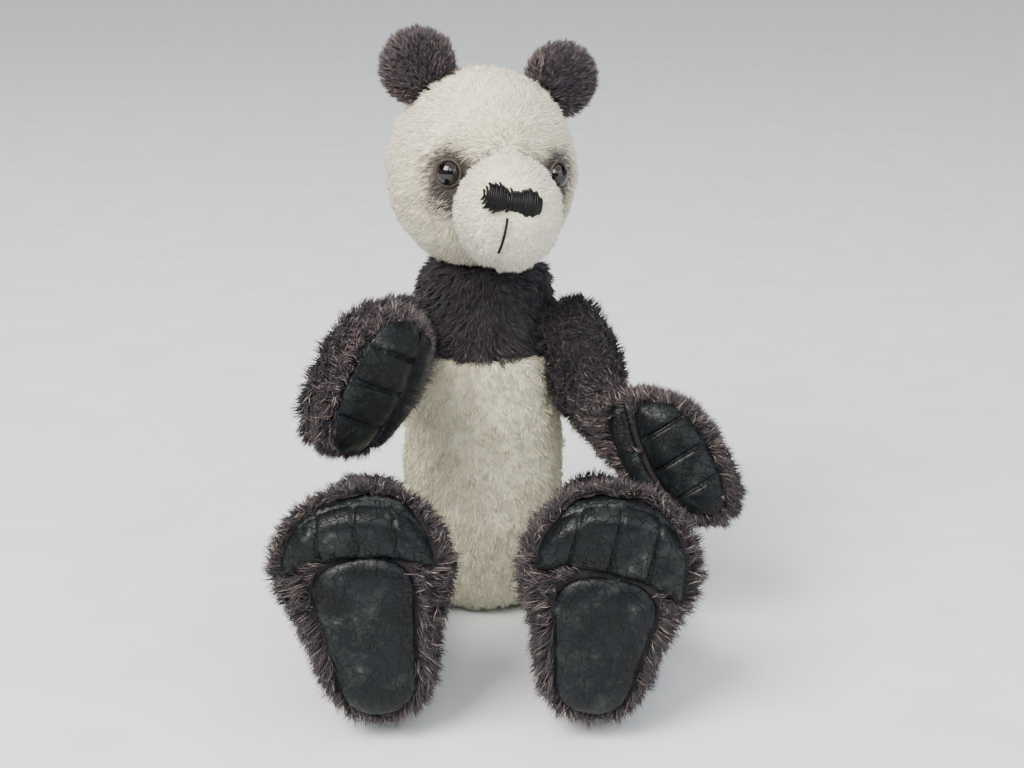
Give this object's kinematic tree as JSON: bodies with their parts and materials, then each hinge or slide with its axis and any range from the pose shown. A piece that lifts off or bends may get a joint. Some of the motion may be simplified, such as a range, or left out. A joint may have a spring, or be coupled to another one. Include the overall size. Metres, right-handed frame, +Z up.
{
  "type": "jointed plush panda",
  "caption": "Small five-way jointed panda in short pile fabric, sitting, with cracked leather paw and sole pads.",
  "frame": {"origin": "the middle of the flat seat under the body, on the surface that the panda sits on", "axes": "+Z is up, -Y is the way the body faces, +X is the panda's own left"},
  "size_m": [0.0813, 0.0778, 0.1142],
  "materials": {
    "dark_pile": "dense black-brown pile with lighter reddish tips",
    "cream_pile": "short dense cream pile",
    "leather": "black leather with a fine net of cracks, low sheen",
    "thread": "black embroidery thread",
    "eye_glass": "polished dark glass",
    "filling": "loose white fibre",
    "pouch_cloth": "plain calico holding fine pellets",
    "board": "pressed fibreboard",
    "steel": "plain drawn steel"
  },
  "bodies": {
    "body": {"body_yoke": "dark_pile", "body_belly": "cream_pile", "body_filling": "filling", "pellet_pouch": "pouch_cloth", "neck_disc_body": "board", "neck_washer_body": "steel", "shoulder_left_disc_body": "board", "shoulder_left_washer_body": "steel", "shoulder_right_disc_body": "board", "shoulder_right_washer_body": "steel", "hip_left_disc_body": "board", "hip_left_washer_body": "steel", "hip_right_disc_body": "board", "hip_right_washer_body": "steel"},
    "head": {"head_shell": "cream_pile", "head_filling": "filling", "muzzle_cover": "cream_pile", "muzzle_filling": "filling", "ear_left": "dark_pile", "ear_right": "dark_pile", "eye_left": "eye_glass", "eye_right": "eye_glass", "eye_loop_left": "steel", "eye_loop_right": "steel", "nose_stitching": "thread", "mouth_stitch": "thread", "neck_disc_head": "board", "neck_washer_head": "steel", "neck_split_pin": "steel"},
    "arm_left": {"arm_left_shell": "dark_pile", "arm_left_filling": "filling", "palm_pad_left": "leather", "finger_pad_left": "leather", "shoulder_left_disc_arm": "board", "shoulder_left_washer_arm": "steel", "shoulder_left_split_pin": "steel"},
    "arm_right": {"arm_right_shell": "dark_pile", "arm_right_filling": "filling", "palm_pad_right": "leather", "finger_pad_right": "leather", "shoulder_right_disc_arm": "board", "shoulder_right_washer_arm": "steel", "shoulder_right_split_pin": "steel"},
    "leg_left": {"leg_left_shell": "dark_pile", "leg_left_filling": "filling", "toe_pad_left": "leather", "sole_pad_left": "leather", "hip_left_disc_leg": "board", "hip_left_washer_leg": "steel", "hip_left_split_pin": "steel"},
    "leg_right": {"leg_right_shell": "dark_pile", "leg_right_filling": "filling", "toe_pad_right": "leather", "sole_pad_right": "leather", "hip_right_disc_leg": "board", "hip_right_washer_leg": "steel", "hip_right_split_pin": "steel"}
  },
  "joints": [
    {"name": "neck", "type": "hinge", "parent": "body", "child": "head", "pos_m": [0.0006, -0.0018, 0.0715], "axis": [0, 0, 1], "continuous": true},
    {"name": "shoulder_left", "type": "hinge", "parent": "body", "child": "arm_left", "pos_m": [0.0127, -0.005, 0.057], "axis": [0.9345, -0.3401, 0.1045], "range_deg": [-100, 150]},
    {"name": "shoulder_right", "type": "hinge", "parent": "body", "child": "arm_right", "pos_m": [-0.0115, -0.005, 0.057], "axis": [0.9345, 0.3401, -0.1045], "range_deg": [-60, 150]},
    {"name": "hip_left", "type": "hinge", "parent": "body", "child": "leg_left", "pos_m": [0.0152, -0.002, 0.0145], "axis": [1, 0, 0], "range_deg": [-20, 130]},
    {"name": "hip_right", "type": "hinge", "parent": "body", "child": "leg_right", "pos_m": [-0.0152, -0.002, 0.0145], "axis": [1, 0, 0], "range_deg": [-5, 130]}
  ]
}
